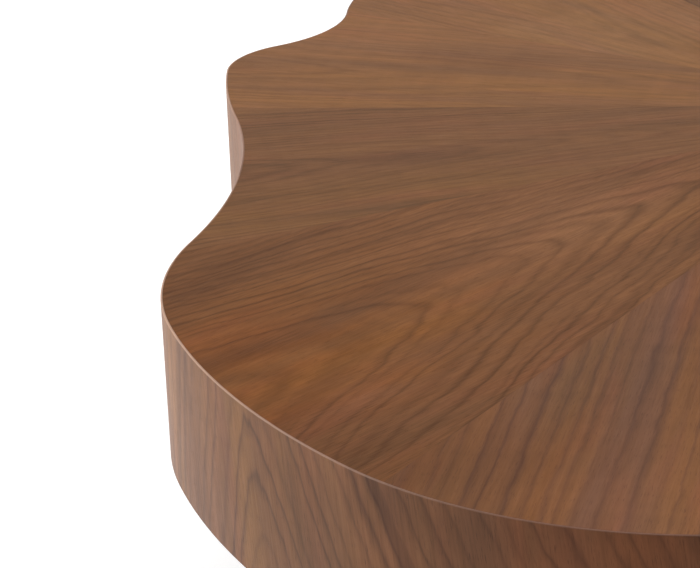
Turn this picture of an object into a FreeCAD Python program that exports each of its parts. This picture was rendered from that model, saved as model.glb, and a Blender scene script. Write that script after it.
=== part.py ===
import FreeCAD, Part
import math
import os

import Sketcher

# A low table with a deep, wavy-edged top on four drum legs.
# +Y points away from the viewer, +Z up, and the origin is on the floor below the middle of the top.

# Driving sizes: millimetres, and degrees for bearings and turns.
SIZES = {
    "table_height": 360.0,
    "top_depth": 100.0,
    # The first arc of the outline sets off in this direction.
    "first_heading": -150.8,
    # Arcs of half the outline, anticlockwise: an angle below zero is a hollow.
    "small_tip_radius": 71.0,
    "small_tip_angle": 59.8,
    "small_side_radius": 523.0,
    "small_side_angle": 11.7,
    "long_hollow_radius": 457.0,
    "long_hollow_angle": -30.9,
    "broad_shoulder_radius": 211.0,
    "broad_shoulder_angle": 35.9,
    "broad_crown_radius": 486.0,
    "broad_crown_angle": 24.3,
    "broad_toe_radius": 240.0,
    "broad_toe_angle": 85.7,
    "front_hollow_radius": 149.0,
    "front_hollow_angle": -49.4,
    "round_shoulder_radius": 173.0,
    "round_shoulder_angle": 27.6,
    "round_crown_radius": 499.0,
    "round_crown_angle": 25.0,
    "round_heel_radius": 228.0,
    "round_heel_angle": 46.6,
    "tight_hollow_radius": 107.0,
    # Veneer and boards of the top.
    "leaf_count": 12.0,
    "leaf_thickness": 0.8,
    "first_seam_bearing": 24.3,
    "face_thickness": 1.2,
    "arris_ease": 0.7,
    "core_thickness": 9.0,
    "glue_line": 0.1,
    "top_board": 16.0,
    "base_board": 12.0,
    "rib_thickness": 15.0,
    "hub_radius": 70.0,
    # Legs.
    "leg_radius": 70.0,
    "leg_reach": 345.0,
    "broad_leg_bearing": 226.0,
    "round_leg_bearing": 297.0,
    "leg_face": 1.0,
    "leg_wall": 12.0,
    "head_thickness": 24.0,
    "sole_thickness": 18.0,
    "pad_radius": 58.0,
    "pad_thickness": 4.0,
    "block_side": 150.0,
    "stud_radius": 5.0,
    "insert_radius": 8.0,
    "insert_depth": 40.0,
    "fit_clearance": 0.1,
    # Every blank reaches this far past the outline, and every cut past its face.
    "overrun": 5.0,
}

# The arcs in order; the last one turns whatever is left of the half turn.
HALF_RUN = (
    "small_tip",
    "small_side",
    "long_hollow",
    "broad_shoulder",
    "broad_crown",
    "broad_toe",
    "front_hollow",
    "round_shoulder",
    "round_crown",
    "round_heel",
    "tight_hollow",
)
HOLLOWS = ("long_hollow", "front_hollow", "tight_hollow")
HALF_TURN = 180.0
FULL_TURN = 2 * HALF_TURN
# The eased arris leans in by half a right angle.
ARRIS_TAPER = -45.0
UP = FreeCAD.Vector(0, 0, 1)

# Levels and insets, as formulas of the sheet.
TOP = "Sizes.table_height"
UNDERSIDE = "Sizes.table_height - Sizes.top_depth"
LEAF_BASE = "Sizes.table_height - Sizes.leaf_thickness"
TOP_BOARD_BASE = LEAF_BASE + " - Sizes.top_board"
CAVITY_BASE = UNDERSIDE + " + Sizes.base_board"
CAVITY_DEPTH = "Sizes.top_depth - Sizes.leaf_thickness - Sizes.top_board - Sizes.base_board"
FACE_INSET = "Sizes.face_thickness"
CORE_INSET = FACE_INSET + " + Sizes.glue_line"
LINING_INSET = CORE_INSET + " + Sizes.core_thickness"
BOARD_INSET = LINING_INSET + " + Sizes.glue_line"
SHELL_RADIUS = "Sizes.leg_radius - Sizes.leg_face - Sizes.glue_line"
BORE_RADIUS = SHELL_RADIUS + " - Sizes.leg_wall"
PLUG_RADIUS = BORE_RADIUS + " - Sizes.glue_line"
STUD_BORE = "Sizes.stud_radius + Sizes.fit_clearance"
INSERT_BORE = "Sizes.insert_radius + Sizes.fit_clearance"

doc = FreeCAD.newDocument("CoffeeTable")
sheet = doc.addObject("Spreadsheet::Sheet", "Sizes")
for row, (alias, value) in enumerate(SIZES.items(), start=1):
    sheet.set("A%d" % row, alias)
    sheet.set("B%d" % row, str(value))
    sheet.setAlias("B%d" % row, alias)
doc.recompute()

nodes = {}


def size(alias):
    """Read one driving size from the sheet."""
    return float(getattr(sheet, alias))


def measure(formula):
    """Work out a formula of the sheet as a number."""
    return float(sheet.evalExpression(formula.replace("Sizes.", "")))


def keep(label, item):
    """Label a finished sub-part with its node name."""
    item.Label = label
    nodes[label] = item
    return item


# The outline

def half_turns():
    """Turns of the half run; the last arc closes it to half a circle."""
    turns = [size(name + "_angle") for name in HALF_RUN[:-1]]
    return turns + [HALF_TURN - sum(turns)]


def outline_arcs():
    """Arcs of the whole outline: name, centre, signed radius, start and end heading in radians."""
    point = FreeCAD.Vector(0, 0, 0)
    heading = math.radians(size("first_heading"))
    half = []
    for name, turn in zip(HALF_RUN, half_turns()):
        radius = math.copysign(size(name + "_radius"), turn)
        centre = point + FreeCAD.Vector(-math.sin(heading), math.cos(heading), 0) * radius
        end = heading + math.radians(turn)
        half.append((name, centre, radius, heading, end))
        point = centre - FreeCAD.Vector(-math.sin(end), math.cos(end), 0) * radius
        heading = end
    middle = point * 0.5
    near = [(name, centre - middle, radius, start, end) for name, centre, radius, start, end in half]
    far = [
        (name, centre * -1, radius, start + math.pi, end + math.pi)
        for name, centre, radius, start, end in near
    ]
    return near + far


def hollow_points():
    """Middle of each hollow, anticlockwise by bearing from the first one."""
    points = []
    for name, centre, radius, start, end in outline_arcs():
        if name in HOLLOWS:
            middle = (start + end) / 2
            points.append(centre - FreeCAD.Vector(-math.sin(middle), math.cos(middle), 0) * radius)
    return points


def blank_reach():
    """Reach of a blank, from the middle of the table, that passes every arc of the outline."""
    arc_reaches = [centre.Length + abs(radius) for name, centre, radius, start, end in outline_arcs()]
    return max(arc_reaches) + size("overrun")


def bearing_of(point):
    """Bearing of a point from the middle of the table, in degrees."""
    return math.degrees(math.atan2(point.y, point.x)) % FULL_TURN


def new_sketch(body, name, level):
    """Sketch on the body's own level plane, lifted by a formula."""
    plane = [item for item in body.Origin.OriginFeatures if item.Role == "XY_Plane"][0]
    sketch = body.newObject("Sketcher::SketchObject", name)
    sketch.AttachmentSupport = [(plane, "")]
    sketch.MapMode = "FlatFace"
    sketch.setExpression("AttachmentOffset.Base.z", level)
    return sketch


def draw_outline(sketch, inset):
    """Draw the closed outline, set in by a formula, as arcs that touch end to end."""
    first = sketch.GeometryCount
    arcs = outline_arcs()
    depth = measure(inset)
    ends = []
    for index, (name, centre, radius, start, end) in enumerate(arcs):
        circle = Part.Circle(centre, UP, abs(radius - depth))
        if radius > 0:
            span = (start - math.pi / 2, end - math.pi / 2)
            ends.append((1, 2))
        else:
            span = (end + math.pi / 2, start + math.pi / 2)
            ends.append((2, 1))
        sketch.addGeometry(Part.ArcOfCircle(circle, span[0], span[1]), False)
    for index, (name, centre, radius, _, _) in enumerate(arcs):
        here = first + index
        following = (index + 1) % len(arcs)
        sketch.addConstraint(
            Sketcher.Constraint("Tangent", here, ends[index][1], first + following, ends[following][0])
        )
        sign = " - " if radius > 0 else " + "
        rule = sketch.addConstraint(Sketcher.Constraint("Radius", here, abs(radius - depth)))
        sketch.setExpression(
            "Constraints[%d]" % rule, "Sizes.%s_radius%s(%s)" % (name, sign, inset)
        )
        if index % 2 == 0:
            sketch.addConstraint(Sketcher.Constraint("DistanceX", -1, 1, here, 3, centre.x))
            sketch.addConstraint(Sketcher.Constraint("DistanceY", -1, 1, here, 3, centre.y))


def draw_circle(sketch, radius):
    """Draw a circle about the sketch's origin."""
    index = sketch.addGeometry(Part.Circle(FreeCAD.Vector(0, 0, 0), UP, measure(radius)), False)
    sketch.addConstraint(Sketcher.Constraint("Coincident", index, 3, -1, 1))
    rule = sketch.addConstraint(Sketcher.Constraint("Radius", index, measure(radius)))
    sketch.setExpression("Constraints[%d]" % rule, radius)


def pad(body, sketch, depth, taper=0.0):
    """Raise a sketch into a solid, its sides leaning in by a taper below zero."""
    feature = body.newObject("PartDesign::Pad", body.Name + "_pad")
    feature.Profile = sketch
    feature.setExpression("Length", depth)
    feature.TaperAngle = taper
    body.Tip = feature
    doc.recompute()
    return feature


def pocket_down(body, sketch, depth):
    """Cut a sketch downwards and make sure that it removed something."""
    before = body.Shape.Volume
    feature = body.newObject("PartDesign::Pocket", body.Name + "_pocket")
    feature.Profile = sketch
    feature.setExpression("Length", depth)
    body.Tip = feature
    doc.recompute()
    if body.Shape.Volume >= before:
        raise RuntimeError("the pocket in %s cuts nothing" % body.Label)
    return feature


def outline_body(name, inset, level, depth):
    """Solid with the table's outline, set in by a formula."""
    body = doc.addObject("PartDesign::Body", name)
    sketch = new_sketch(body, name + "_outline", level)
    draw_outline(sketch, inset)
    pad(body, sketch, depth)
    return body


def outline_ring(name, outer, inner, level, depth, ease=None):
    """Wall that follows the outline, its outer top edge eased if asked."""
    straight = "(%s) - (%s)" % (depth, ease) if ease else depth
    body = outline_body(name, outer, level, straight)
    if ease:
        sketch = new_sketch(body, name + "_arris", "(%s) + (%s)" % (level, straight))
        draw_outline(sketch, outer)
        pad(body, sketch, ease, ARRIS_TAPER)
    sketch = new_sketch(body, name + "_inside", "(%s) + (%s) + Sizes.overrun" % (level, depth))
    draw_outline(sketch, inner)
    pocket_down(body, sketch, "(%s) + 2 * Sizes.overrun" % depth)
    return body


def wedge(name, start, span, level, depth):
    """Slice of a wide disc between two bearings, to part a sheet or a wall."""
    piece = doc.addObject("Part::Cylinder", name)
    piece.Radius = blank_reach()
    piece.setExpression("Height", "(%s) + 2 * Sizes.overrun" % depth)
    piece.setExpression("Angle", str(span))
    piece.Placement = FreeCAD.Placement(FreeCAD.Vector(0, 0, 0), FreeCAD.Rotation(UP, start))
    piece.setExpression("Placement.Base.z", "(%s) - Sizes.overrun" % level)
    return piece


def common(name, base, tool):
    """What two solids share."""
    piece = doc.addObject("Part::Common", name)
    piece.Base = base
    piece.Tool = tool
    return piece


def cut(name, base, tool):
    """One solid less another."""
    piece = doc.addObject("Part::Cut", name)
    piece.Base = base
    piece.Tool = tool
    return piece


def group(name, members):
    """Identical pieces that share one node."""
    piece = doc.addObject("Part::Compound", name)
    piece.Links = members
    return piece


# The top

def top_leaves():
    """Matched leaves of veneer that meet at the middle."""
    level = LEAF_BASE
    depth = "Sizes.leaf_thickness"
    face = outline_body("leaf_sheet", CORE_INSET, level, depth)
    count = int(size("leaf_count"))
    for number in range(count):
        start = size("first_seam_bearing") + number * FULL_TURN / count
        name = "top_leaf_%02d" % (number + 1)
        slice_of = wedge(name + "_wedge", start, FULL_TURN / count, level, depth)
        keep(name, common(name, face, slice_of))


def rim():
    """Bent plywood wall and its veneer, in one length from hollow to hollow."""
    bearings = sorted(bearing_of(point) for point in hollow_points())
    core_depth = "Sizes.top_depth - Sizes.leaf_thickness"
    core = outline_ring("core_wall", CORE_INSET, LINING_INSET, UNDERSIDE, core_depth)
    face = outline_ring("face_wall", "0", FACE_INSET, UNDERSIDE, "Sizes.top_depth", "Sizes.arris_ease")
    for number, start in enumerate(bearings, start=1):
        end = bearings[number % len(bearings)]
        span = (end - start) % FULL_TURN
        for kind, wall in (("rim_core", core), ("rim_face", face)):
            name = "%s_%d" % (kind, number)
            slice_of = wedge(name + "_wedge", start, span, UNDERSIDE, "Sizes.top_depth")
            keep(name, common(name, wall, slice_of))


def boards():
    """Top board, and the base board with a clearance hole for each stud."""
    keep("top_board", outline_body("top_board", BOARD_INSET, TOP_BOARD_BASE, "Sizes.top_board"))
    blank = outline_body("base_blank", BOARD_INSET, UNDERSIDE, "Sizes.base_board")
    holes = [
        rod("base_hole_%d" % number, spot, INSERT_BORE, UNDERSIDE + " - Sizes.overrun",
            "Sizes.base_board + 2 * Sizes.overrun")
        for number, spot in enumerate(leg_spots(), start=1)
    ]
    keep("base_board", cut("base_board", blank, group("base_holes", holes)))


def ribs():
    """Hub in the middle and a rib from it to each hollow of the wall."""
    hub = round_body("hub", None, "Sizes.hub_radius", None, CAVITY_BASE, CAVITY_DEPTH)
    keep("hub", hub)
    keep_out = rod("hub_clearance", None, "Sizes.hub_radius + Sizes.glue_line", CAVITY_BASE, CAVITY_DEPTH)
    cavity = outline_body("cavity", BOARD_INSET, CAVITY_BASE, CAVITY_DEPTH)
    bearings = sorted(bearing_of(point) for point in hollow_points())
    for number, bearing in enumerate(bearings, start=1):
        name = "rib_%d" % number
        board = doc.addObject("Part::Box", name + "_board")
        board.Length = blank_reach()
        board.setExpression("Width", "Sizes.rib_thickness")
        board.setExpression("Height", CAVITY_DEPTH)
        turn = FreeCAD.Rotation(UP, bearing)
        corner = turn.multVec(FreeCAD.Vector(0, -size("rib_thickness") / 2, 0))
        board.Placement = FreeCAD.Placement(corner, turn)
        board.setExpression("Placement.Base.z", CAVITY_BASE)
        inside = common(name + "_inside", board, cavity)
        keep(name, cut(name, inside, keep_out))


# The legs

def leg_spots():
    """Where the four legs stand: reach formulas for X and Y."""
    spots = []
    for turn in (0, HALF_TURN):
        for name in ("broad", "round"):
            angle = "(Sizes.%s_leg_bearing + %g)" % (name, turn)
            spots.append(("Sizes.leg_reach * cos(%s)" % angle, "Sizes.leg_reach * sin(%s)" % angle))
    return spots


def stand(item, spot):
    """Move an item to a leg's place."""
    if spot:
        item.setExpression("Placement.Base.x", spot[0])
        item.setExpression("Placement.Base.y", spot[1])


def rod(name, spot, radius, level, depth):
    """Plain upright cylinder."""
    piece = doc.addObject("Part::Cylinder", name)
    piece.setExpression("Radius", radius)
    piece.setExpression("Height", depth)
    piece.setExpression("Placement.Base.z", level)
    stand(piece, spot)
    return piece


def round_body(name, spot, radius, bore, level, depth):
    """Disc or tube turned about its own upright axis."""
    body = doc.addObject("PartDesign::Body", name)
    sketch = new_sketch(body, name + "_circle", level)
    draw_circle(sketch, radius)
    if bore:
        draw_circle(sketch, bore)
    pad(body, sketch, depth)
    stand(body, spot)
    return body


def leg_block(name, spot):
    """Square block between the boards that takes the leg's insert."""
    body = doc.addObject("PartDesign::Body", name)
    sketch = new_sketch(body, name + "_square", CAVITY_BASE)
    half = size("block_side") / 2
    corners = [
        FreeCAD.Vector(-half, -half, 0),
        FreeCAD.Vector(half, -half, 0),
        FreeCAD.Vector(half, half, 0),
        FreeCAD.Vector(-half, half, 0),
    ]
    for index, corner in enumerate(corners):
        sketch.addGeometry(Part.LineSegment(corner, corners[(index + 1) % len(corners)]), False)
    for index in range(len(corners)):
        following = (index + 1) % len(corners)
        sketch.addConstraint(Sketcher.Constraint("Coincident", index, 2, following, 1))
        kind = "Horizontal" if index % 2 == 0 else "Vertical"
        sketch.addConstraint(Sketcher.Constraint(kind, index))
    sketch.addConstraint(Sketcher.Constraint("Symmetric", 0, 1, 1, 2, -1, 1))
    for index in (0, 1):
        rule = sketch.addConstraint(Sketcher.Constraint("Distance", index, 2 * half))
        sketch.setExpression("Constraints[%d]" % rule, "Sizes.block_side")
    pad(body, sketch, CAVITY_DEPTH)
    bore_top = "%s + Sizes.insert_depth" % CAVITY_BASE
    bore = new_sketch(body, name + "_bore", bore_top)
    draw_circle(bore, INSERT_BORE)
    pocket_down(body, bore, "Sizes.insert_depth + Sizes.overrun")
    stand(body, spot)
    return body


def legs():
    """Four drum legs: tube, veneer, end plugs, stud, inserts and a pad under each."""
    pad_top = "Sizes.pad_thickness"
    leg_length = UNDERSIDE + " - Sizes.pad_thickness"
    head_base = UNDERSIDE + " - Sizes.head_thickness"
    stud_top = CAVITY_BASE + " + Sizes.insert_depth"
    studs = []
    block_inserts = []
    head_inserts = []
    pads = []
    for number, spot in enumerate(leg_spots(), start=1):
        tag = "_%d" % number
        keep("leg_shell" + tag, round_body("leg_shell" + tag, spot, SHELL_RADIUS, BORE_RADIUS,
                                           pad_top, leg_length))
        face_bore = "Sizes.leg_radius - Sizes.leg_face"
        keep("leg_face" + tag, round_body("leg_face" + tag, spot, "Sizes.leg_radius", face_bore,
                                          pad_top, leg_length))
        keep("leg_head" + tag, round_body("leg_head" + tag, spot, PLUG_RADIUS, INSERT_BORE,
                                          head_base, "Sizes.head_thickness"))
        keep("leg_sole" + tag, round_body("leg_sole" + tag, spot, PLUG_RADIUS, None,
                                          pad_top, "Sizes.sole_thickness"))
        keep("leg_block" + tag, leg_block("leg_block" + tag, spot))
        studs.append(rod("stud" + tag, spot, "Sizes.stud_radius", head_base,
                         "(%s) - (%s)" % (stud_top, head_base)))
        block_inserts.append(round_body("block_insert" + tag, spot, "Sizes.insert_radius", STUD_BORE,
                                        CAVITY_BASE, "Sizes.insert_depth"))
        head_inserts.append(round_body("head_insert" + tag, spot, "Sizes.insert_radius", STUD_BORE,
                                       head_base, "Sizes.head_thickness"))
        pads.append(round_body("pad" + tag, spot, "Sizes.pad_radius", None, "0", pad_top))
    keep("leg_studs", group("leg_studs", studs))
    keep("block_inserts", group("block_inserts", block_inserts))
    keep("head_inserts", group("head_inserts", head_inserts))
    keep("foot_pads", group("foot_pads", pads))


def check_and_write():
    """Stop on a failed object or a bad shape, then write every node."""
    doc.recompute()
    for item in doc.Objects:
        if "Invalid" in item.State or "Error" in item.State:
            raise RuntimeError("%s failed to recompute: %s" % (item.Label, item.State))
    for label, item in nodes.items():
        if item.Shape.isNull() or not item.Shape.isValid() or not item.Shape.Solids:
            raise RuntimeError("%s has no valid solid" % label)
    os.makedirs("parts", exist_ok=True)
    for label, item in nodes.items():
        item.Shape.exportStep("parts/%s.step" % label)
        print("%-16s %3d solid %12.0f mm3" % (label, len(item.Shape.Solids), item.Shape.Volume))


top_leaves()
rim()
boards()
ribs()
legs()
check_and_write()
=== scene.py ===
import logging
import math
from dataclasses import dataclass, field, replace
from enum import Enum
from typing import Union

import bpy
from mathutils import Matrix, Vector


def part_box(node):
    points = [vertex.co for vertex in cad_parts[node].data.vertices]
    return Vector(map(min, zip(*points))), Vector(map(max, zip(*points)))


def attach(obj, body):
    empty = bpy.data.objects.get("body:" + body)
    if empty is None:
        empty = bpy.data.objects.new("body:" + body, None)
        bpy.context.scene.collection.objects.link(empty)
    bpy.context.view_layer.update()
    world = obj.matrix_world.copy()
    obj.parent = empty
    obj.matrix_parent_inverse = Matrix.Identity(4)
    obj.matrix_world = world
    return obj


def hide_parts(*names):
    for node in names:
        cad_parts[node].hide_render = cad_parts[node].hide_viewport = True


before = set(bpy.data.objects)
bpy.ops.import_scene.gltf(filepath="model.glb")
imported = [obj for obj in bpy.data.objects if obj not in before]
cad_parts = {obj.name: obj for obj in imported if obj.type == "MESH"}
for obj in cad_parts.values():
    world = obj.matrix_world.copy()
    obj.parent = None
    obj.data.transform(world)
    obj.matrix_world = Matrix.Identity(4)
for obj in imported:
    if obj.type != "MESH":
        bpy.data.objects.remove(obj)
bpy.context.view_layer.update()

LOG = logging.getLogger("coffee_table")

Colour = tuple[float, float, float, float]
Triple = tuple[float, float, float]
Span = tuple[float, float, float, float]
Stops = tuple[tuple[float, float], ...]
Socket = bpy.types.NodeSocket
Value = Union[Socket, float, Vector, tuple]

WHITE: Colour = (1.0, 1.0, 1.0, 1.0)


def ink(red: int, green: int, blue: int) -> Colour:
    """Turn a screen colour into the linear colour that a shader takes.

    Args:
        red: Red, 0 to 255.
        green: Green, 0 to 255.
        blue: Blue, 0 to 255.

    Returns:
        Linear red, green, blue and an opaque alpha.
    """
    linear = [
        part / 12.92 if part <= 0.04045 else ((part + 0.055) / 1.055) ** 2.4
        for part in (red / 255, green / 255, blue / 255)
    ]
    return (linear[0], linear[1], linear[2], 1.0)


# Node trees

class Tree:
    """A node tree that is filled a node at a time."""

    # Sockets of a Mix node that blends colours.
    MIX_INPUTS = (0, 6, 7)
    MIX_RESULT = 2

    def __init__(self, tree: bpy.types.NodeTree) -> None:
        """Start on an empty tree.

        Args:
            tree: The tree to fill.
        """
        self.tree = tree

    def add(self, kind: str, **settings: object) -> bpy.types.Node:
        """Add a node.

        Args:
            kind: The node's type name.
            settings: Properties to set on it.

        Returns:
            The new node.
        """
        node = self.tree.nodes.new(kind)
        for name, value in settings.items():
            setattr(node, name, value)
        return node

    def feed(self, socket: Socket, value: Value) -> None:
        """Link a socket into another, or set a constant on it.

        Args:
            socket: The input that is fed.
            value: An output socket or a constant.
        """
        if isinstance(value, bpy.types.NodeSocket):
            self.tree.links.new(value, socket)
        else:
            socket.default_value = value

    def maths(
        self, operation: str, first: Value, second: Value = 0.0, clamp: bool = False
    ) -> Socket:
        """Work out one sum.

        Args:
            operation: The Math node's operation.
            first: First number.
            second: Second number, where the operation has one.
            clamp: Whether the result is kept between 0 and 1.

        Returns:
            The result.
        """
        node = self.add("ShaderNodeMath", operation=operation, use_clamp=clamp)
        self.feed(node.inputs[0], first)
        self.feed(node.inputs[1], second)
        return node.outputs[0]

    def times(self, first: Value, second: Value) -> Socket:
        """Multiply two numbers."""
        return self.maths("MULTIPLY", first, second)

    def added(self, base: Value, part: Value, share: Value) -> Socket:
        """Add a share of one number to another."""
        return self.maths("ADD", base, self.times(part, share))

    def vector(self, operation: str, first: Value, second: Value) -> Socket:
        """Work out one vector sum.

        Args:
            operation: The Vector Math node's operation.
            first: First vector.
            second: Second vector.

        Returns:
            The result.
        """
        node = self.add("ShaderNodeVectorMath", operation=operation)
        self.feed(node.inputs[0], first)
        self.feed(node.inputs[1], second)
        return node.outputs[0]

    def length(self, place: Value) -> Socket:
        """Measure a vector.

        Args:
            place: The vector.

        Returns:
            Its length.
        """
        node = self.add("ShaderNodeVectorMath", operation="LENGTH")
        self.feed(node.inputs[0], place)
        return node.outputs["Value"]

    def split(self, place: Value) -> list[Socket]:
        """Take a vector apart.

        Args:
            place: The vector.

        Returns:
            Its three numbers.
        """
        node = self.add("ShaderNodeSeparateXYZ")
        self.feed(node.inputs[0], place)
        return list(node.outputs)

    def join(self, *parts: Value) -> Socket:
        """Put a vector together.

        Args:
            parts: Two or three numbers.

        Returns:
            The vector.
        """
        node = self.add("ShaderNodeCombineXYZ")
        for index, part in enumerate(parts):
            self.feed(node.inputs[index], part)
        return node.outputs[0]

    def spot(self) -> Socket:
        """Object coordinates of the piece."""
        return self.add("ShaderNodeTexCoord").outputs["Object"]

    def noise(self, place: Value, detail: float = 2.0, rough: float = 0.5) -> Socket:
        """Sample smooth noise at a place that is already scaled.

        Args:
            place: Where to sample.
            detail: Octaves of finer noise.
            rough: How much the finer octaves count.

        Returns:
            The noise, 0 to 1 about a half.
        """
        node = self.add("ShaderNodeTexNoise")
        self.feed(node.inputs["Vector"], place)
        node.inputs["Scale"].default_value = 1.0
        node.inputs["Detail"].default_value = detail
        node.inputs["Roughness"].default_value = rough
        return node.outputs[0]

    def spread(
        self, value: Value, low: float, high: float, to_low: float = 0.0, to_high: float = 1.0
    ) -> Socket:
        """Map a range to another with soft ends.

        Args:
            value: The number to map.
            low: What becomes `to_low`.
            high: What becomes `to_high`.
            to_low: Result at and below `low`.
            to_high: Result at and above `high`.

        Returns:
            The mapped number.
        """
        node = self.add("ShaderNodeMapRange", interpolation_type="SMOOTHSTEP")
        for index, number in enumerate((value, low, high, to_low, to_high)):
            self.feed(node.inputs[index], number)
        return node.outputs[0]

    def ramp(self, value: Value, stops: Stops) -> Socket:
        """Read a grey ramp.

        Args:
            value: Where on the ramp.
            stops: Place and grey of each stop.

        Returns:
            The grey.
        """
        node = self.add("ShaderNodeValToRGB")
        elements = node.color_ramp.elements
        while len(elements) < len(stops):
            elements.new(0.5)
        for element, (place, grey) in zip(elements, stops):
            element.position = place
            element.color = (grey, grey, grey, 1.0)
        self.feed(node.inputs[0], value)
        return node.outputs[0]

    def blend(self, share: Value, first: Value, second: Value, mode: str = "MIX") -> Socket:
        """Blend two colours.

        Args:
            share: How much of the second.
            first: First colour.
            second: Second colour.
            mode: The Mix node's blend type.

        Returns:
            The blended colour.
        """
        node = self.add("ShaderNodeMix", data_type="RGBA", blend_type=mode, clamp_factor=True)
        for index, value in zip(self.MIX_INPUTS, (share, first, second)):
            self.feed(node.inputs[index], value)
        return node.outputs[self.MIX_RESULT]


class Sheen(Enum):
    """How a surface is finished: roughness and specular level."""

    SATIN = (0.46, 0.04)
    GLOSS = (0.44, 0.12)
    MATT = (0.62, 0.25)
    METAL = (0.38, 0.5)
    RAW = (0.78, 0.2)
    CLOTH = (0.95, 0.1)


def surface(name: str) -> tuple[bpy.types.Material, Tree, bpy.types.Node]:
    """Make an empty material with its shader.

    Args:
        name: The material's name.

    Returns:
        The material, its tree and its Principled shader.
    """
    material = bpy.data.materials.new(name)
    material.use_nodes = True
    material.node_tree.nodes.clear()
    tree = Tree(material.node_tree)
    shader = tree.add("ShaderNodeBsdfPrincipled")
    output = tree.add("ShaderNodeOutputMaterial")
    tree.feed(output.inputs["Surface"], shader.outputs[0])
    return material, tree, shader


# Roughness falls from its most to its least as the relief rises through this range.
ROUGH_RELIEF = (0.2, 0.9)
ROUGH_MORE = 0.06
ROUGH_LESS = 0.04
BUMP_STRENGTH = 0.5
VENEER_RELIEF = 0.00012


def rough_and_bump(
    tree: Tree, shader: bpy.types.Node, sheen: Sheen, height: Socket, depth: float
) -> None:
    """Give a shader its gloss and its relief.

    Args:
        tree: The material's tree.
        shader: The shader to finish.
        sheen: The finish.
        height: Relief, 0 to 1.
        depth: Depth of the relief in metres.
    """
    rough, specular = sheen.value
    shader.inputs["Specular IOR Level"].default_value = specular
    roughness = tree.spread(height, *ROUGH_RELIEF, rough + ROUGH_MORE, rough - ROUGH_LESS)
    tree.feed(shader.inputs["Roughness"], roughness)
    bump = tree.add("ShaderNodeBump")
    bump.inputs["Strength"].default_value = BUMP_STRENGTH
    bump.inputs["Distance"].default_value = depth
    tree.feed(bump.inputs["Height"], height)
    tree.feed(shader.inputs["Normal"], bump.outputs[0])


# Veneer

@dataclass(frozen=True)
class Tones:
    """Colours of one sheet of veneer."""

    ground: Colour
    warm: Colour
    blush: Colour
    shade: Colour
    line: Colour


@dataclass(frozen=True)
class Figure:
    """How the rings run in one sheet of veneer, in metres and degrees."""

    depth: float  # how far the heart of the log lies under the sheet
    slope: float  # how fast it sinks along the sheet
    opening: float  # how fast the arches open along the sheet
    ring: float  # width of a ring
    wobble: float  # how far the lines wander across the sheet
    strength: float  # how dark the lines are, 0 to 1
    seed: float  # keeps one sheet's noises apart from another's
    aside: float = 0.0  # how far the arches' axis lies to the left of the sheet's
    turn: float = 0.0  # angle between the two axes
    soft: float = 0.4  # how broad the lines are, 0 to 1
    fibre: float = 1.0  # how strongly fibres and clouds show


@dataclass(frozen=True)
class Streak:
    """A noise drawn out along or across the grain: scales per metre, octaves, and its range."""

    along: float
    across: float
    layer: float  # keeps one noise apart from another
    octaves: float = 2.0
    span: Span = (0.0, 1.0, 0.0, 1.0)  # from low and high, to low and high


DRIFT = Streak(2.6, 7.0, 1.0)
TREMBLE = Streak(16.0, 60.0, 2.0, 1.0)
HEAVE = Streak(2.0, 3.0, 3.0, 1.0)
PATCHES = Streak(3.0, 9.0, 4.0, span=(0.3, 0.7, 0.7, 1.15))
GOLD = Streak(2.4, 11.0, 5.0, span=(0.4, 0.75, 0.0, 1.0))
DUSK = Streak(2.0, 34.0, 6.0, span=(0.42, 0.75, 0.0, 0.7))
FIBRE = Streak(38.0, 900.0, 7.0, 3.0, (0.28, 0.72, -0.12, 0.12))
STRAND = Streak(9.0, 210.0, 8.0, span=(0.28, 0.72, 0.95, 1.05))
PORES = Streak(150.0, 2300.0, 9.0, 1.0, (0.6, 0.72, 0.0, 1.0))
# faint painted sheen in bands across the grain, standing in for chatoyance
RIPPLE_SHEEN = Streak(70.0, 9.0, 10.0, 1.0, (0.3, 0.7, 0.97, 1.03))
NICK = Streak(45.0, 130.0, 11.0, 1.0)
BLUSH = Streak(7.0, 38.0, 12.0, 3.0, (0.45, 0.78, 0.0, 0.5))
CLOUD = Streak(2.2, 24.0, 13.0, span=(0.3, 0.7, -0.12, 0.12))

TOP_TONES = Tones(
    ink(122, 80, 49), ink(129, 84, 45), ink(132, 80, 54), ink(108, 71, 43), ink(76, 45, 20)
)
PALE_TONES = Tones(
    ink(133, 89, 54), ink(137, 92, 50), ink(144, 90, 60), ink(120, 82, 53), ink(90, 59, 32)
)
DARK_TONES = Tones(
    ink(118, 79, 49), ink(124, 84, 47), ink(127, 79, 53), ink(104, 70, 44), ink(75, 48, 24)
)
STRIPED_TONES = Tones(
    ink(124, 84, 55), ink(129, 84, 50), ink(139, 80, 54), ink(110, 76, 61), ink(80, 51, 40)
)
SIDE_TONES = Tones(
    ink(122, 84, 60), ink(127, 88, 55), ink(130, 83, 61), ink(110, 75, 55), ink(68, 45, 36)
)


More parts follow.
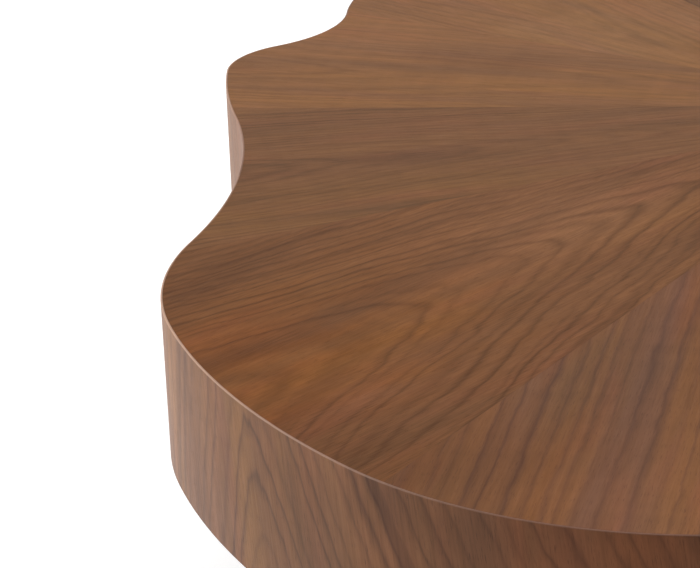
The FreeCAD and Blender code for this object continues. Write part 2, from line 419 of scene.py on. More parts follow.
class WoodFigure:
    """The figure of plain-sliced walnut: nested arches, fibres, pores, drifts of colour and a faint
    painted sheen across the grain.
    """

    NUMBERS = (
        "Depth", "Slope", "Opening", "Ring", "Wobble", "Strength", "Seed", "Soft", "Fibre"
    )
    COLOURS = ("Ground", "Warm", "Blush", "Shade", "Line")
    LAYER_STEP = (3.7, 1.9, 5.3)
    TREMBLE_SHARE = 0.1
    NICK_SHARE = 0.4
    UNEVEN_SCALE = 0.45
    UNEVEN_SHARE = 2.6
    FINE_EDGE = ((0.0, 0.16), (0.12, 0.03), (0.48, 0.06), (0.72, 0.36), (0.86, 1.0), (1.0, 0.16))
    BROAD_EDGE = ((0.0, 0.45), (0.2, 0.08), (0.42, 0.05), (0.66, 0.6), (0.8, 1.0), (1.0, 0.45))
    LEAST_FORCE = 0.45
    PORE_SHARE = 0.45
    PORE_DEPTH = 0.6

    def __init__(self) -> None:
        """Build the shared node group."""
        self.group = bpy.data.node_groups.new("plain_sliced_walnut", "ShaderNodeTree")
        self.declare("INPUT", ("Place",), "NodeSocketVector")
        self.declare("INPUT", self.NUMBERS, "NodeSocketFloat")
        self.declare("INPUT", self.COLOURS, "NodeSocketColor")
        self.declare("OUTPUT", ("Colour",), "NodeSocketColor")
        self.declare("OUTPUT", ("Height",), "NodeSocketFloat")
        self.tree = Tree(self.group)
        self.given = self.tree.add("NodeGroupInput").outputs
        self.along, self.across, _ = self.tree.split(self.given["Place"])
        self.seeded = self.tree.join(self.along, self.across, self.given["Seed"])
        self.paint(self.rings())

    def declare(self, way: str, names: tuple[str, ...], kind: str) -> None:
        """Give the group some sockets.

        Args:
            way: INPUT or OUTPUT.
            names: Their names.
            kind: Their type.
        """
        for name in names:
            self.group.interface.new_socket(name, in_out=way, socket_type=kind)

    def streaks(self, streak: Streak) -> Socket:
        """Draw a noise out along or across the grain.

        Args:
            streak: The noise.

        Returns:
            The noise, 0 to 1 about a half.
        """
        place = self.tree.vector("MULTIPLY", self.seeded, (streak.along, streak.across, 1.0))
        offset = tuple(streak.layer * step for step in self.LAYER_STEP)
        return self.tree.noise(self.tree.vector("ADD", place, offset), streak.octaves)

    def swing(self, streak: Streak) -> Socket:
        """A noise about zero."""
        return self.tree.maths("SUBTRACT", self.streaks(streak), 0.5)

    def mapped(self, streak: Streak) -> Socket:
        """A noise mapped to its own range."""
        return self.tree.spread(self.streaks(streak), *streak.span)

    def rings(self) -> Socket:
        """Cut nested arches through the growth rings.

        Returns:
            How dark the ring's edge is, 0 to a little over 1.
        """
        tree = self.tree
        given = self.given
        sway = tree.added(self.swing(DRIFT), self.swing(TREMBLE), self.TREMBLE_SHARE)
        across = tree.added(self.across, sway, given["Wobble"])
        sunk = tree.added(given["Depth"], given["Slope"], self.along)
        level = tree.added(sunk, self.swing(HEAVE), given["Depth"])
        radius = tree.maths("SQRT", tree.added(tree.times(across, across), level, level))
        ring = tree.maths("SUBTRACT", radius, tree.times(given["Opening"], self.along))
        whole = tree.maths("DIVIDE", ring, given["Ring"])
        count = tree.added(whole, self.swing(NICK), self.NICK_SHARE)
        place = tree.join(tree.times(count, self.UNEVEN_SCALE), given["Seed"])
        uneven = tree.maths("SUBTRACT", tree.noise(place), 0.5)
        phase = tree.added(count, uneven, self.UNEVEN_SHARE)
        part = tree.maths("FRACT", phase)
        fine = tree.ramp(part, self.FINE_EDGE)
        broad = tree.ramp(part, self.BROAD_EDGE)
        edge = tree.blend(given["Soft"], fine, broad)
        chance = tree.add("ShaderNodeTexWhiteNoise", noise_dimensions="1D")
        tree.feed(chance.inputs["W"], tree.maths("ADD", tree.maths("FLOOR", phase), given["Seed"]))
        force = tree.spread(chance.outputs[0], 0.0, 1.0, self.LEAST_FORCE, 1.0)
        return tree.times(tree.times(edge, force), self.mapped(PATCHES))

    def paint(self, rings: Socket) -> None:
        """Colour the sheet and set its relief.

        Args:
            rings: How dark the ring's edge is.
        """
        tree = self.tree
        given = self.given
        fibre = self.streaks(FIBRE)
        pores = self.mapped(PORES)
        colour = tree.blend(self.mapped(GOLD), given["Ground"], given["Warm"])
        colour = tree.blend(self.mapped(BLUSH), colour, given["Blush"])
        colour = tree.blend(self.mapped(DUSK), colour, given["Shade"])
        colour = tree.blend(tree.times(rings, given["Strength"]), colour, given["Line"])
        # brightness from strands and fibres, with a faint painted sheen across the grain
        light = tree.times(self.mapped(STRAND), self.mapped(RIPPLE_SHEEN))
        thread = tree.maths("ADD", tree.spread(fibre, *FIBRE.span), self.mapped(CLOUD))
        light = tree.times(light, tree.added(1.0, thread, given["Fibre"]))
        colour = tree.vector("MULTIPLY", colour, tree.join(light, light, light))
        colour = tree.blend(tree.times(pores, self.PORE_SHARE), colour, given["Line"])
        height = tree.maths("SUBTRACT", fibre, tree.times(pores, self.PORE_DEPTH), clamp=True)
        result = tree.add("NodeGroupOutput").inputs
        tree.feed(result["Colour"], colour)
        tree.feed(result["Height"], height)

    def use(
        self, tree: Tree, place: Socket, figure: Figure, tones: Tones
    ) -> tuple[Socket, Socket]:
        """Lay the figure on a material.

        Args:
            tree: The material's tree.
            place: Along and across the sheet, in metres.
            figure: How the rings run.
            tones: The sheet's colours.

        Returns:
            Colour and relief.
        """
        node = tree.add("ShaderNodeGroup")
        node.node_tree = self.group
        tree.feed(node.inputs["Place"], place)
        for names, source in ((self.NUMBERS, figure), (self.COLOURS, tones)):
            for name in names:
                node.inputs[name].default_value = getattr(source, name.lower())
        return node.outputs["Colour"], node.outputs["Height"]


def turned(tree: Tree, place: Socket, bearing: float, aside: float = 0.0) -> Socket:
    """Turn a place so that the first coordinate runs along a bearing.

    Args:
        tree: The material's tree.
        place: The place before.
        bearing: Bearing of the sheet's grain, in degrees.
        aside: How far the sheet's axis lies to the left of the origin, in metres.

    Returns:
        The place along and across the sheet.
    """
    node = tree.add("ShaderNodeMapping", vector_type="POINT")
    tree.feed(node.inputs["Vector"], place)
    node.inputs["Rotation"].default_value = (0.0, 0.0, -math.radians(bearing))
    node.inputs["Location"].default_value = (0.0, -aside, 0.0)
    return node.outputs[0]


@dataclass(frozen=True)
class Stain:
    """A soft patch of another tint in one sheet, in metres along and across it."""

    along: float
    across: float
    reach: float
    tint: Colour
    narrow: float = 2.0  # how many times longer it is along the grain than across

    # Scale of the ragged edge, per metre along and across the sheet.
    RAGGED = (16.0, 55.0, 1.0)

    def lay(self, tree: Tree, sheet: Socket, colour: Socket) -> Socket:
        """Tint the sheet's colour.

        Args:
            tree: The material's tree.
            sheet: Along and across the sheet, in metres.
            colour: The colour before.

        Returns:
            The colour after.
        """
        moved = tree.vector("SUBTRACT", sheet, (self.along, self.across, 0.0))
        drawn = tree.vector("MULTIPLY", moved, (1.0, self.narrow, 0.0))
        noise = tree.noise(tree.vector("MULTIPLY", sheet, self.RAGGED))
        ragged = tree.maths("SUBTRACT", noise, 0.5)
        far = tree.added(tree.length(drawn), ragged, self.reach)
        share = tree.spread(far, 0.0, self.reach, 1.0, 0.0)
        return tree.blend(share, colour, self.tint, "MULTIPLY")


@dataclass(frozen=True)
class LeafFinish:
    """Lacquered walnut on one leaf of the top, darker in the seams beside it."""

    number: int
    bearing: float
    figure: Figure
    tones: Tones
    stains: tuple[Stain, ...] = ()
    half_span: float = 15.0
    seam: float = 0.0005
    seam_share: float = 0.18

    def make(self, wood: WoodFigure) -> bpy.types.Material:
        """Build the leaf's material.

        Args:
            wood: The shared figure.

        Returns:
            The material.
        """
        material, tree, shader = surface("top_walnut_%02d" % self.number)
        spot = tree.spot()
        place = turned(tree, spot, self.bearing + self.figure.turn, self.figure.aside)
        colour, height = wood.use(tree, place, self.figure, self.tones)
        leaf = turned(tree, spot, self.bearing)
        for stain in self.stains:
            colour = stain.lay(tree, leaf, colour)
        along, across, _ = tree.split(leaf)
        half = math.radians(self.half_span)
        out = tree.times(along, math.sin(half))
        side = tree.times(tree.maths("ABSOLUTE", across), math.cos(half))
        inside = tree.maths("SUBTRACT", out, side)
        joint = tree.spread(inside, 0.0, self.seam, self.seam_share, 0.0)
        tree.feed(shader.inputs["Base Color"], tree.blend(joint, colour, self.tones.line))
        rough_and_bump(tree, shader, Sheen.SATIN, height, VENEER_RELIEF)
        return material


@dataclass(frozen=True)
class SideFinish:
    """Lacquered walnut that runs upright round the wall, on the wall's own run map.

    The arris band is painted partly as wear on the eased edge and partly as a highlight, and the painted
    highlight is brightest at one place along the length.
    """

    number: int
    figure: Figure
    tones: Tones
    middle: float  # where its figure is centred, in metres along the run
    top: float
    stains: tuple[Stain, ...] = ()
    # arris band colour away from the painted highlight; the band is wear and painted highlight together
    arris: Colour = ink(124, 91, 76)
    # painted highlight colour of the arris where it turns towards the side light, with its place and
    # reach along the run
    arris_highlight: Colour = ink(199, 163, 141)
    arris_highlight_at: float = -0.14
    arris_highlight_reach: tuple[float, float] = (0.04, 0.34)
    wear_and_highlight_reach: tuple[float, float] = (0.0002, 0.0007)
    wear_and_highlight_share: float = 0.62

    def make(self, wood: WoodFigure) -> bpy.types.Material:
        """Build the wall veneer's material.

        Args:
            wood: The shared figure.

        Returns:
            The material.
        """
        material, tree, shader = surface("side_walnut_%d" % self.number)
        run, height, _ = tree.split(tree.add("ShaderNodeUVMap", uv_map="run").outputs[0])
        down = tree.maths("SUBTRACT", self.top, height)
        round_about = tree.maths("SUBTRACT", run, self.middle)
        sheet = tree.join(down, round_about)
        place = turned(tree, sheet, self.figure.turn, self.figure.aside)
        colour, relief = wood.use(tree, place, self.figure, self.tones)
        for stain in self.stains:
            colour = stain.lay(tree, sheet, colour)
        # painted highlight: the arris pales where it turns towards the side light and fades along the run
        off = tree.maths("ABSOLUTE", tree.maths("SUBTRACT", round_about, self.arris_highlight_at))
        pale = tree.spread(off, *self.arris_highlight_reach, 1.0, 0.0)
        arris = tree.blend(pale, self.arris, self.arris_highlight)
        # the eased arris band: wear on the edge, partly a painted highlight
        wear_and_highlight = tree.spread(down, *self.wear_and_highlight_reach, self.wear_and_highlight_share, 0.0)
        tree.feed(shader.inputs["Base Color"], tree.blend(wear_and_highlight, colour, arris))
        rough_and_bump(tree, shader, Sheen.GLOSS, relief, VENEER_RELIEF)
        return material


@dataclass(frozen=True)
class LegFinish:
    """Lacquered walnut on the drum legs, grain upright."""

    figure: Figure
    tones: Tones
    skew: float = 0.83  # how much the second coordinate counts across the grain

    def make(self, wood: WoodFigure) -> bpy.types.Material:
        """Build the legs' material.

        Args:
            wood: The shared figure.

        Returns:
            The material.
        """
        material, tree, shader = surface("leg_walnut")
        east, north, height = tree.split(tree.spot())
        sheet = tree.join(height, tree.added(east, north, self.skew))
        colour, relief = wood.use(tree, sheet, self.figure, self.tones)
        tree.feed(shader.inputs["Base Color"], colour)
        rough_and_bump(tree, shader, Sheen.SATIN, relief, VENEER_RELIEF)
        return material


@dataclass(frozen=True)
class BoardFinish:
    """Board, plywood, lacquer, felt or steel: a mottled ground with grain or grit."""

    name: str
    ground: Colour
    speck: Colour
    stretch: Triple
    sheen: Sheen
    metal: float = 0.0
    relief: float = 0.0002

    COARSE = 0.05
    OCTAVES = 3.0
    GRIT = 0.65
    FINE_RANGE = (0.35, 0.7)
    COARSE_SPAN = (0.25, 0.75, 0.35, 0.9)

    def make(self) -> bpy.types.Material:
        """Build the material.

        Returns:
            The material.
        """
        material, tree, shader = surface(self.name)
        spot = tree.spot()
        wide = tuple(part * self.COARSE for part in self.stretch)
        coarse = tree.noise(tree.vector("MULTIPLY", spot, wide), self.OCTAVES)
        fine = tree.noise(tree.vector("MULTIPLY", spot, self.stretch), self.OCTAVES, self.GRIT)
        mottle = tree.spread(coarse, *self.COARSE_SPAN)
        share = tree.times(tree.spread(fine, *self.FINE_RANGE), mottle)
        tree.feed(shader.inputs["Base Color"], tree.blend(share, self.ground, self.speck))
        shader.inputs["Metallic"].default_value = self.metal
        rough_and_bump(tree, shader, self.sheen, fine, self.relief)
        return material


PLYWOOD = BoardFinish(
    "bending_plywood", ink(196, 164, 124), ink(160, 124, 86), (40.0, 40.0, 900.0), Sheen.RAW
)
FIBREBOARD = BoardFinish(
    "fibreboard", ink(176, 146, 112), ink(146, 116, 86), (700.0, 700.0, 700.0), Sheen.RAW
)
LACQUER = BoardFinish(
    "base_lacquer", ink(66, 50, 43), ink(52, 39, 34), (420.0, 420.0, 420.0), Sheen.MATT
)
STEEL = BoardFinish(
    "zinc_steel",
    ink(176, 178, 178),
    ink(150, 152, 154),
    (300.0, 300.0, 2000.0),
    Sheen.METAL,
    metal=1.0,
    relief=0.00005,
)
FELT = BoardFinish(
    "dense_felt",
    ink(58, 54, 51),
    ink(38, 35, 33),
    (1500.0, 1500.0, 1500.0),
    Sheen.CLOTH,
    relief=0.0005,
)


# Helpers for operators and CAD nodes

def deselect() -> None:
    """Leave edit mode and deselect every object."""
    if bpy.context.object and bpy.context.object.mode != "OBJECT":
        bpy.ops.object.mode_set(mode="OBJECT")
    bpy.ops.object.select_all(action="DESELECT")


def dress(name: str, material: bpy.types.Material) -> None:
    """Give a CAD node one material.

    Args:
        name: The node.
        material: Its finish.
    """
    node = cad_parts[name]
    if node.material_slots:
        for slot in node.material_slots:
            slot.link = "OBJECT"
            slot.material = material
    else:
        node.data.materials.append(material)


# The table

@dataclass(frozen=True)
class Bend:
    """One arc of the outline: radius in metres, turn in degrees, negative in a hollow."""

    radius: float
    turn: float


@dataclass
class Outline:
    """The wavy outline, two equal half runs of arcs that touch end to end."""

    heading: float = -150.8
    bends: tuple[Bend, ...] = (
        Bend(0.071, 59.8),
        Bend(0.523, 11.7),
        Bend(0.457, -30.9),
        Bend(0.211, 35.9),
        Bend(0.486, 24.3),
        Bend(0.240, 85.7),
        Bend(0.149, -49.4),
        Bend(0.173, 27.6),
        Bend(0.499, 25.0),
        Bend(0.228, 46.6),
        Bend(0.107, -56.3),
    )

    def start(self) -> Vector:
        """Find the first arc's start, measured from the middle of the table.

        Returns:
            The place, which lies back from the middle by half the span of the half run.
        """
        point = Vector((0.0, 0.0))
        heading = math.radians(self.heading)
        for bend in self.bends:
            _, point, heading = self.follow(point, heading, bend)
        return point * -0.5

    @staticmethod
    def left(heading: float) -> Vector:
        """Direction to the left of a heading in radians."""
        return Vector((-math.sin(heading), math.cos(heading)))

    @staticmethod
    def signed(bend: Bend) -> float:
        """Radius of an arc, negative in a hollow."""
        return math.copysign(bend.radius, bend.turn)

    def centre(self, point: Vector, heading: float, bend: Bend) -> Vector:
        """Centre of an arc that leaves a point on a heading."""
        return point + self.left(heading) * self.signed(bend)

    def follow(
        self, point: Vector, heading: float, bend: Bend
    ) -> tuple[Vector, Vector, float]:
        """Follow one arc.

        Args:
            point: Where the arc starts.
            heading: Heading there, in radians.
            bend: The arc.

        Returns:
            Its centre, its end and the heading at its end.
        """
        centre = self.centre(point, heading, bend)
        heading += math.radians(bend.turn)
        return centre, centre - self.left(heading) * self.signed(bend), heading


@dataclass
class WallPiece:
    """One length of wall veneer, from the middle of a hollow to the next."""

    number: int
    start: Vector
    heading: float
    bends: list[Bend] = field(default_factory=list)


@dataclass
class WallVeneer:
    """The veneer round the wall, with its eased arris, in metres and degrees."""

    outline: Outline
    top: float = 0.360
    depth: float = 0.100
    thickness: float = 0.0012
    ease: float = 0.0007
    ease_steps: int = 4
    step: float = 1.5  # turn of one facet in an arc of step_radius or less
    step_radius: float = 0.15
    weld: float = 0.000002
    smooth: float = 35.0

    def lengths(self) -> list[WallPiece]:
        """Cut the outline at the middle of each hollow.

        Returns:
            The six lengths, in order round the table.
        """
        point = self.outline.start()
        heading = math.radians(self.outline.heading)
        pieces: list[WallPiece] = []
        pending: list[Bend] = []
        for _ in range(2):
            for bend in self.outline.bends:
                if bend.turn > 0:
                    pending.append(bend)
                else:
                    pending.append(Bend(bend.radius, bend.turn / 2))
                    pieces.append(WallPiece(len(pieces) + 1, point, heading, pending))
                    for done in pending:
                        _, point, heading = self.outline.follow(point, heading, done)
                    pending = [Bend(bend.radius, bend.turn / 2)]
        first = pieces[0]
        first.bends = pending + first.bends
        centre = self.outline.centre(first.start, first.heading, pending[0])
        first.heading -= math.radians(pending[0].turn)
        spoke = self.outline.left(first.heading) * self.outline.signed(pending[0])
        first.start = centre - spoke
        return pieces

    def build(self, piece: WallPiece) -> bpy.types.Object:
        """Model one length: a narrow upright section, carried round arc after arc.

        Args:
            piece: The length to model.

        Returns:
            The finished object.
        """
        deselect()
        bpy.ops.mesh.primitive_plane_add(size=1.0)
        item = bpy.context.object
        item.name = "wall_veneer_%d" % piece.number
        item.data.name = item.name
        right = -self.outline.left(piece.heading)
        basis = Matrix(
            (
                (right.x * self.thickness, 0.0, 0.0, piece.start.x - right.x * self.thickness / 2),
                (right.y * self.thickness, 0.0, 0.0, piece.start.y - right.y * self.thickness / 2),
                (0.0, self.depth, 0.0, self.top - self.depth / 2),
                (0.0, 0.0, 0.0, 1.0),
            )
        )
        for vertex in item.data.vertices:
            vertex.co = basis @ vertex.co
        outer = [
            index
            for index, vertex in enumerate(item.data.vertices)
            if (vertex.co.xy - piece.start).length < self.thickness / 4
        ]
        bpy.ops.object.mode_set(mode="EDIT")
        bpy.ops.mesh.select_all(action="DESELECT")
        bpy.ops.object.mode_set(mode="OBJECT")
        for index in outer:
            item.data.vertices[index].select = True
        bpy.ops.object.mode_set(mode="EDIT")
        bpy.ops.mesh.select_mode(type="VERT")
        bpy.ops.mesh.bevel(
            offset=self.ease, segments=self.ease_steps, affect="VERTICES", clamp_overlap=False
        )
        bpy.ops.mesh.select_all(action="SELECT")
        self.carry(piece)
        bpy.ops.mesh.select_all(action="SELECT")
        bpy.ops.mesh.remove_doubles(threshold=self.weld)
        bpy.ops.mesh.normals_make_consistent(inside=False)
        bpy.ops.object.mode_set(mode="OBJECT")
        bpy.ops.object.shade_smooth_by_angle(angle=math.radians(self.smooth))
        return item

    def carry(self, piece: WallPiece) -> None:
        """Spin the selected section round each arc of a length.

        Args:
            piece: The length that is followed.
        """
        point = piece.start
        heading = piece.heading
        for bend in piece.bends:
            centre, point, heading = self.outline.follow(point, heading, bend)
            finer = max(1.0, bend.radius / self.step_radius)
            steps = max(2, math.ceil(abs(bend.turn) * finer / self.step))
            bpy.ops.mesh.spin(
                steps=steps,
                angle=-math.radians(bend.turn),
                center=(centre.x, centre.y, 0.0),
                axis=(0.0, 0.0, 1.0),
            )

    def map_run(self, item: bpy.types.Object, piece: WallPiece) -> float:
        """Write the run map: metres round the wall, and height.

        Args:
            item: The modelled length.
            piece: The length that it follows.

        Returns:
            The length's whole run.
        """
        arcs = []
        point = piece.start
        heading = piece.heading
        run = 0.0
        for bend in piece.bends:
            before = point
            centre, point, heading = self.outline.follow(point, heading, bend)
            arcs.append((centre, bend, before - centre, run))
            run += bend.radius * abs(math.radians(bend.turn))
        maps = item.data.uv_layers
        maps.new(name="run")
        for name in [other.name for other in maps if other.name != "run"]:
            maps.remove(maps[name])
        points = maps["run"].data
        for loop in item.data.loops:
            place = item.data.vertices[loop.vertex_index].co
            points[loop.index].uv = (self.run_at(place.xy, arcs), place.z)
        return run

    @staticmethod
    def run_at(place: Vector, arcs: list[tuple[Vector, Bend, Vector, float]]) -> float:
        """Find how far round a length a place lies.

        Args:
            place: The place, in plan.
            arcs: Centre, bend, first spoke and run before it, for each arc.

        Returns:
            Metres from the length's start.
        """
        best = (math.inf, 0.0)
        for centre, bend, spoke, before in arcs:
            arm = place - centre
            angle = math.atan2(spoke.x * arm.y - spoke.y * arm.x, spoke.dot(arm))
            share = math.degrees(angle) / bend.turn
            miss = abs(arm.length - bend.radius) + max(0.0, -share, share - 1.0)
            if miss < best[0]:
                best = (miss, before + share * bend.radius * abs(math.radians(bend.turn)))
        return best[1]


@dataclass
class TableTop:
    """The deep top: twelve leaves, six lengths of wall veneer, core and boards."""

    wood: WoodFigure
    first_bearing: float = 39.3
    leaf_count: int = 12
    wall_count: int = 6

    @staticmethod
    def leaf_figures() -> dict[int, tuple[Figure, Tones]]:
        """Figure and tones of each leaf, by number."""
        return {
            1: (Figure(0.016, 0.01, 0.14, 0.0056, 0.030, 0.75, 1.7, 0.01, 3.0), TOP_TONES),
            2: (Figure(0.014, 0.02, 0.15, 0.0058, 0.026, 0.70, 2.9, 0.02, -4.0), TOP_TONES),
            3: (Figure(0.022, 0.01, 0.13, 0.0052, 0.024, 0.65, 3.3, -0.03, 2.0), DARK_TONES),
            4: (Figure(0.018, 0.02, 0.14, 0.0080, 0.055, 0.40, 4.1, 0.04, -3.0, 0.8, 0.5), PALE_TONES),
            5: (Figure(0.020, 0.02, 0.15, 0.0110, 0.060, 0.42, 5.6, 0.00, 3.0, 1.0, 0.5), PALE_TONES),
            6: (Figure(0.014, 0.01, 0.17, 0.0070, 0.060, 0.52, 6.2, 0.00, 2.0, 0.8, 0.8), DARK_TONES),
            7: (Figure(0.024, 0.03, 0.20, 0.0078, 0.080, 0.66, 7.9, -0.025, 6.0, 0.8, 0.9), TOP_TONES),
            8: (Figure(0.000, 0.00, 0.00, 0.0100, 0.016, 0.68, 8.3, 0.34, 5.0, 0.65, 0.5), STRIPED_TONES),
            9: (Figure(0.016, 0.01, 0.14, 0.0056, 0.028, 0.72, 9.5, 0.01, 3.0), TOP_TONES),
            10: (Figure(0.014, 0.02, 0.15, 0.0056, 0.026, 0.70, 10.3, -0.02, -2.0), DARK_TONES),
            11: (Figure(0.018, 0.01, 0.14, 0.0054, 0.026, 0.70, 11.9, 0.03, 1.0), TOP_TONES),
            12: (Figure(0.020, 0.02, 0.15, 0.0062, 0.028, 0.60, 12.4, 0.00, -3.0), PALE_TONES),
        }

    @staticmethod
    def leaf_stains() -> dict[int, tuple[Stain, ...]]:
        """Choose the patches of some leaves.

        Returns:
            Golden, pale and dark patches, by number.
        """
        rim = Stain(0.64, -0.04, 0.27, (0.94, 0.84, 0.70, 1.0), 1.0)
        gold = Stain(0.58, 0.045, 0.18, (1.16, 1.11, 0.78, 1.0), 2.6)
        corner = Stain(0.56, -0.14, 0.18, (0.84, 0.86, 0.84, 1.0), 1.0)
        return {
            1: (rim, gold, corner),
            4: (Stain(0.27, 0.04, 0.15, (1.07, 1.14, 1.24, 1.0), 1.0),),
            5: (Stain(0.33, -0.03, 0.10, (0.82, 0.80, 0.80, 1.0)),),
            6: (Stain(0.357, 0.0125, 0.07, (0.76, 0.74, 0.76, 1.0), 3.5),),
            7: (
                rim,
                gold,
                corner,
                Stain(0.42, -0.03, 0.15, (1.10, 1.08, 1.07, 1.0)),
                Stain(0.33, -0.02, 0.11, (1.18, 1.24, 1.32, 1.0), 1.6),
                Stain(0.58, -0.012, 0.09, (1.20, 1.09, 0.97, 1.0), 1.6),
                Stain(0.63, 0.107, 0.07, (0.84, 0.82, 0.80, 1.0), 1.3),
            ),
            8: (
                Stain(0.63, -0.07, 0.14, (1.18, 1.18, 1.16, 1.0), 1.0),
                Stain(0.50, -0.10, 0.10, (0.86, 0.94, 1.02, 1.0)),
                Stain(0.61, -0.15, 0.11, (0.93, 0.84, 0.76, 1.0), 1.0),
                Stain(0.63, -0.16, 0.08, (0.80, 0.84, 0.86, 1.0), 1.0),
            ),
        }

    def lay_leaves(self) -> None:
        """Give each leaf its own sheet of veneer."""
        stains = self.leaf_stains()
        for number, (figure, tones) in self.leaf_figures().items():
            bearing = self.first_bearing + (number - 1) * 360.0 / self.leaf_count
            finish = LeafFinish(number, bearing, figure, tones, stains.get(number, ()))
            name = "top_leaf_%02d" % number
            dress(name, finish.make(self.wood))
            LOG.info("%s laid", name)

    @staticmethod
    def side_figures() -> dict[int, tuple[Figure, float]]:
        """Figure of each length of wall veneer, and where it is centred as a share of the run."""
        return {
            1: (Figure(0.014, 0.00, 0.34, 0.0125, 0.020, 0.55, 21.3, 0.0, -5.0, 0.7, 0.5), 0.50),
            2: (Figure(0.012, 0.00, 0.36, 0.0135, 0.022, 0.72, 45.48, 0.0, 8.0, 0.3, 0.7), 0.425),
            3: (Figure(0.016, 0.00, 0.32, 0.0120, 0.020, 0.55, 23.9, 0.0, 4.0, 0.7, 0.5), 0.35),
            4: (Figure(0.014, 0.00, 0.34, 0.0125, 0.020, 0.55, 25.2, 0.0, -6.0, 0.7, 0.5), 0.50),
            5: (Figure(0.012, 0.00, 0.36, 0.0135, 0.018, 0.55, 26.5, 0.0, 6.0, 0.7, 0.5), 0.55),
            6: (Figure(0.016, 0.00, 0.32, 0.0120, 0.020, 0.55, 27.8, 0.0, -4.0, 0.7, 0.5), 0.60),
        }

    @staticmethod
    def side_stains() -> dict[int, tuple[Stain, ...]]:
        """Painted sheen, pale, dull and red patches of some lengths of wall veneer, by number."""
        return {
            2: (
                # painted sheen: the first two pale patches whiten the wall near its left end, where
                # grazing light falls
                Stain(0.05, -0.175, 0.055, (1.06, 1.18, 1.34, 1.0), 1.0),
                Stain(0.05, -0.14, 0.07, (1.12, 1.18, 1.26, 1.0), 1.0),
                Stain(0.05, -0.01, 0.11, (0.93, 0.93, 0.92, 1.0), 1.0),
                Stain(0.06, 0.07, 0.06, (0.88, 0.90, 0.93, 1.0), 1.0),
                Stain(0.05, 0.118, 0.05, (1.40, 1.34, 1.22, 1.0), 1.2),
                Stain(0.02, 0.25, 0.10, (1.35, 1.12, 1.00, 1.0), 1.0),
            ),
        }

    def face_wall(self) -> None:
        """Model the wall veneer and give each length its sheet."""
        wall = WallVeneer(Outline())
        figures = self.side_figures()
        stains = self.side_stains()
        for piece in wall.lengths():
            item = wall.build(piece)
            run = wall.map_run(item, piece)
            figure, share = figures[piece.number]
            patches = stains.get(piece.number, ())
            finish = SideFinish(piece.number, figure, SIDE_TONES, run * share, wall.top, patches)
            item.data.materials.append(finish.make(self.wood))
            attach(item, "root")
            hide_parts(self.node_at(item))
            LOG.info("%s faced, %.3f m long", item.name, run)

    def node_at(self, item: bpy.types.Object) -> str:
        """Name the CAD length of wall veneer that a modelled length stands for.

        Args:
            item: The modelled length.

        Returns:
            The node's name.
        """
        corners = [vertex.co for vertex in item.data.vertices]
        low = Vector(tuple(min(corner[axis] for corner in corners) for axis in range(3)))
        high = Vector(tuple(max(corner[axis] for corner in corners) for axis in range(3)))
        names = ["rim_face_%d" % number for number in range(1, self.wall_count + 1)]
        boxes = {name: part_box(name) for name in names}
        misses = {
            name: (box[0] - low).length + (box[1] - high).length for name, box in boxes.items()
        }
        return min(misses, key=misses.get)

    def finish_inside(self) -> None:
        """Finish the core, the boards, the hub and the ribs."""
        plywood = PLYWOOD.make()
        board = FIBREBOARD.make()
        for number in range(1, self.wall_count + 1):
            dress("rim_core_%d" % number, plywood)
            dress("rib_%d" % number, board)
        dress("hub", board)
        dress("top_board", board)
        dress("base_board", LACQUER.make())
        LOG.info("core, boards, hub and ribs finished")


@dataclass
class DrumLegs:
    """Four veneered drums with their plugs, blocks, studs, inserts and felt."""

    wood: WoodFigure
    count: int = 4
    figure: Figure = Figure(0.05, 0.05, 0.12, 0.008, 0.03, 0.9, 31.0)
    upright: Triple = (700.0, 700.0, 40.0)

    def finish(self) -> None:
        """Finish every part of the legs."""
        board = replace(FIBREBOARD, name="leg_fibreboard").make()
        finishes = {
            "leg_face": LegFinish(self.figure, SIDE_TONES).make(self.wood),
            "leg_shell": replace(PLYWOOD, name="leg_plywood", stretch=self.upright).make(),
            "leg_head": board,
            "leg_sole": replace(LACQUER, name="sole_lacquer").make(),
            "leg_block": board,
        }
        for number in range(1, self.count + 1):
            for part, material in finishes.items():
                dress("%s_%d" % (part, number), material)
            LOG.info("leg %d finished", number)
        steel = STEEL.make()
        for name in ("leg_studs", "block_inserts", "head_inserts"):
            dress(name, steel)
        dress("foot_pads", FELT.make())
        LOG.info("studs, inserts and felt finished")


def seen_rays(tree: Tree) -> Socket:
    """Tell the rays that show the background from those that light the table.

    Args:
        tree: The floor's or the world's tree.

    Returns:
        One for camera, glossy and transmission rays.
    """
    ray = tree.add("ShaderNodeLightPath").outputs
    seen = tree.maths("MAXIMUM", ray["Is Camera Ray"], ray["Is Glossy Ray"])
    return tree.maths("MAXIMUM", seen, ray["Is Transmission Ray"])


@dataclass(frozen=True)
class Lamp:
    """One square soft lamp: place and side in metres, power in watts."""

    name: str
    place: Triple
    size: float
    power: float

    def hang(self, aim: Triple) -> None:
        """Hang the lamp.

        Args:
            aim: What it points at.
        """
        data = bpy.data.lights.new(self.name, "AREA")
        data.shape = "SQUARE"
        data.size = self.size
        data.energy = self.power
        item = bpy.data.objects.new(self.name, data)
        bpy.context.scene.collection.objects.link(item)
        item.location = self.place
        facing = Vector(aim) - Vector(self.place)
        item.rotation_euler = facing.to_track_quat("-Z", "Y").to_euler()


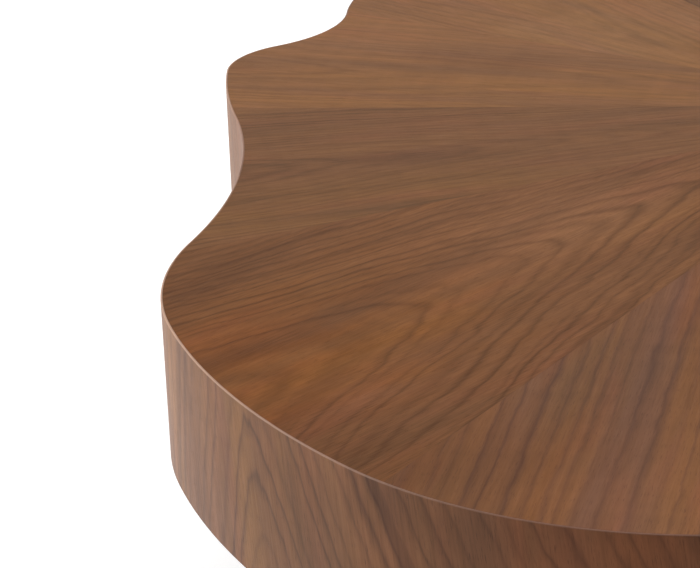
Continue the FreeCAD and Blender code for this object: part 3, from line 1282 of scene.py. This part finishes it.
@dataclass(frozen=True)
class FloorFinish:
    """Plain pale floor that keeps the shadow and whitens with the distance."""

    tone: Colour = ink(252, 252, 252)
    cloud: Colour = ink(250, 250, 250)
    cloud_scale: Triple = (1.5, 1.5, 1.5)
    rough: float = 0.9
    lift: float = 0.22
    far_lift: float = 0.80
    lift_from: float = 1.6
    lift_to: float = 6.0

    def make(self) -> bpy.types.Material:
        """Build the floor's material.

        Returns:
            The material.
        """
        material, tree, shader = surface("pale_floor")
        spot = tree.spot()
        cloud = tree.noise(tree.vector("MULTIPLY", spot, self.cloud_scale))
        tree.feed(shader.inputs["Base Color"], tree.blend(cloud, self.tone, self.cloud))
        shader.inputs["Roughness"].default_value = self.rough
        shader.inputs["Specular IOR Level"].default_value = 0.0
        shader.inputs["Emission Color"].default_value = WHITE
        far = tree.length(spot)
        lift = tree.spread(far, self.lift_from, self.lift_to, self.lift, self.far_lift)
        tree.feed(shader.inputs["Emission Strength"], tree.times(seen_rays(tree), lift))
        return material


@dataclass
class Studio:
    """Pale floor, soft light and the photograph's camera."""

    floor_size: float = 16.0
    world_strength: float = 0.22
    backdrop_strength: float = 1.0
    lamps: tuple[Lamp, ...] = (
        Lamp("side_light", (-4.3, 0.9, 2.2), 3.0, 245.0),
        Lamp("top_light", (0.2, 1.5, 4.2), 3.2, 70.0),
    )
    aim: Triple = (0.0, 0.0, 0.3)
    place: Triple = (-0.4021, -1.5957, 0.8976)
    pitch: float = 22.34
    roll: float = 2.01
    lens: float = 125.07
    sensor: float = 36.0
    nearest: float = 0.05
    farthest: float = 60.0

    def lay_floor(self) -> None:
        """Lay the floor."""
        deselect()
        bpy.ops.mesh.primitive_plane_add(size=self.floor_size)
        floor = bpy.context.object
        floor.name = "floor"
        floor.data.materials.append(FloorFinish().make())
        LOG.info("floor laid")

    def light(self) -> None:
        """Light the room: an even pale world and two large soft lamps."""
        world = bpy.data.worlds.new("studio")
        bpy.context.scene.world = world
        world.use_nodes = True
        world.node_tree.nodes.clear()
        tree = Tree(world.node_tree)
        mix = tree.add("ShaderNodeMixShader")
        tree.feed(mix.inputs[0], seen_rays(tree))
        for index, strength in enumerate((self.world_strength, self.backdrop_strength), 1):
            background = tree.add("ShaderNodeBackground")
            background.inputs["Color"].default_value = WHITE
            background.inputs["Strength"].default_value = strength
            tree.feed(mix.inputs[index], background.outputs[0])
        tree.feed(tree.add("ShaderNodeOutputWorld").inputs[0], mix.outputs[0])
        for lamp in self.lamps:
            lamp.hang(self.aim)
            LOG.info("%s hung", lamp.name)

    def look(self) -> None:
        """Set up the photograph's camera."""
        data = bpy.data.cameras.new("photo_camera")
        data.lens = self.lens
        data.sensor_width = self.sensor
        data.clip_start = self.nearest
        data.clip_end = self.farthest
        item = bpy.data.objects.new("photo_camera", data)
        bpy.context.scene.collection.objects.link(item)
        tilt = Matrix.Rotation(math.radians(90.0 - self.pitch), 4, "X")
        lean = Matrix.Rotation(-math.radians(self.roll), 4, "Z")
        item.matrix_world = Matrix.Translation(self.place) @ tilt @ lean
        bpy.context.scene.camera = item
        bpy.context.scene.view_settings.view_transform = "Standard"


def main() -> None:
    """Build and dress the table, then the room about it."""
    logging.basicConfig(level=logging.INFO, format="%(message)s")
    studio = Studio()
    studio.look()
    wood = WoodFigure()
    top = TableTop(wood)
    top.lay_leaves()
    top.face_wall()
    top.finish_inside()
    DrumLegs(wood).finish()
    studio.lay_floor()
    studio.light()
    LOG.info("table finished")


if __name__ == "__main__":
    main()
